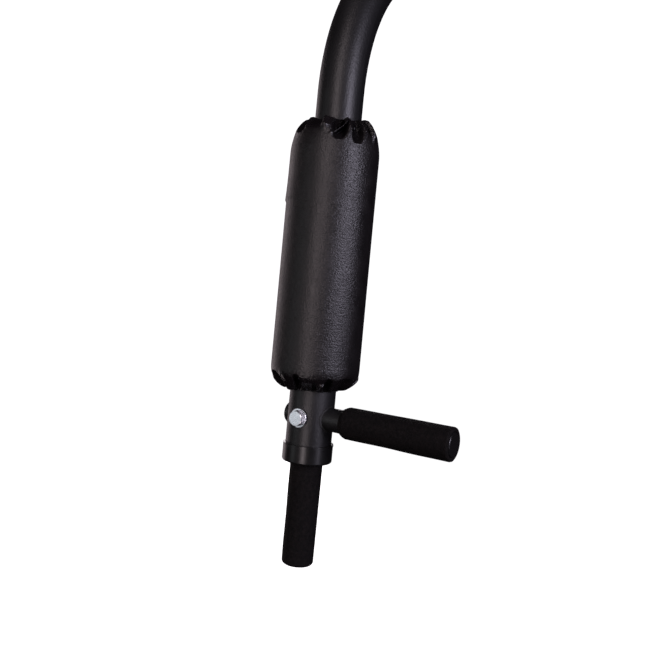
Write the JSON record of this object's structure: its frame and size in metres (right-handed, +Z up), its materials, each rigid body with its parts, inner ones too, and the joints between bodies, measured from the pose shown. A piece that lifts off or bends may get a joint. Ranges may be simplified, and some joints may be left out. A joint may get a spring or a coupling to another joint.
{
  "type": "pull up bar grip arm",
  "caption": "Curved tube arm of a pull up bar station with a turning padded roller, a foam side handle held by a cross bolt, an end collar and a foam end grip.",
  "frame": {"origin": "centre of the arm tube's root end face", "axes": "+Z up, along the hanging arm; +X along the side handle; the root end opens towards +Y and up, 30 degrees above level"},
  "size_m": [0.2138, 0.2941, 0.7934],
  "materials": {
    "powder_coat": "satin black powder coat",
    "collar_plastic": "semi-gloss black moulded plastic",
    "plug_plastic": "semi-gloss black moulded plastic",
    "inner_plastic": "matte black moulded plastic",
    "zinc": "bright zinc plated",
    "grip_foam": "matte closed-cell foam with a fine skin",
    "pad_leather": "black grained synthetic leather",
    "core_foam": "soft foam, not seen",
    "elastic": "black round elastic cord"
  },
  "bodies": {
    "arm": {"arm_tube": "powder_coat", "handle_tube": "powder_coat", "end_grip_tube": "powder_coat", "grip_upper_disc": "powder_coat", "grip_lower_disc": "powder_coat", "arm_collar": "collar_plastic", "handle_end_plug": "plug_plastic", "handle_back_plug": "plug_plastic", "end_grip_plug": "plug_plastic", "handle_bush_front": "inner_plastic", "handle_bush_back": "inner_plastic", "pad_low_stop": "inner_plastic", "pad_high_stop": "inner_plastic", "handle_bolt": "zinc", "handle_washer": "zinc", "handle_lock_nut": "zinc", "side_foam_grip": "grip_foam", "end_foam_grip": "grip_foam"},
    "pad": {"pad_liner": "inner_plastic", "pad_foam": "core_foam", "pad_cover": "pad_leather", "pad_low_elastic": "elastic", "pad_high_elastic": "elastic"}
  },
  "joints": [
    {"name": "pad_turn", "type": "hinge", "parent": "arm", "child": "pad", "pos_m": [0, -0.23374, -0.4], "axis": [0, 0, 1], "continuous": true}
  ]
}
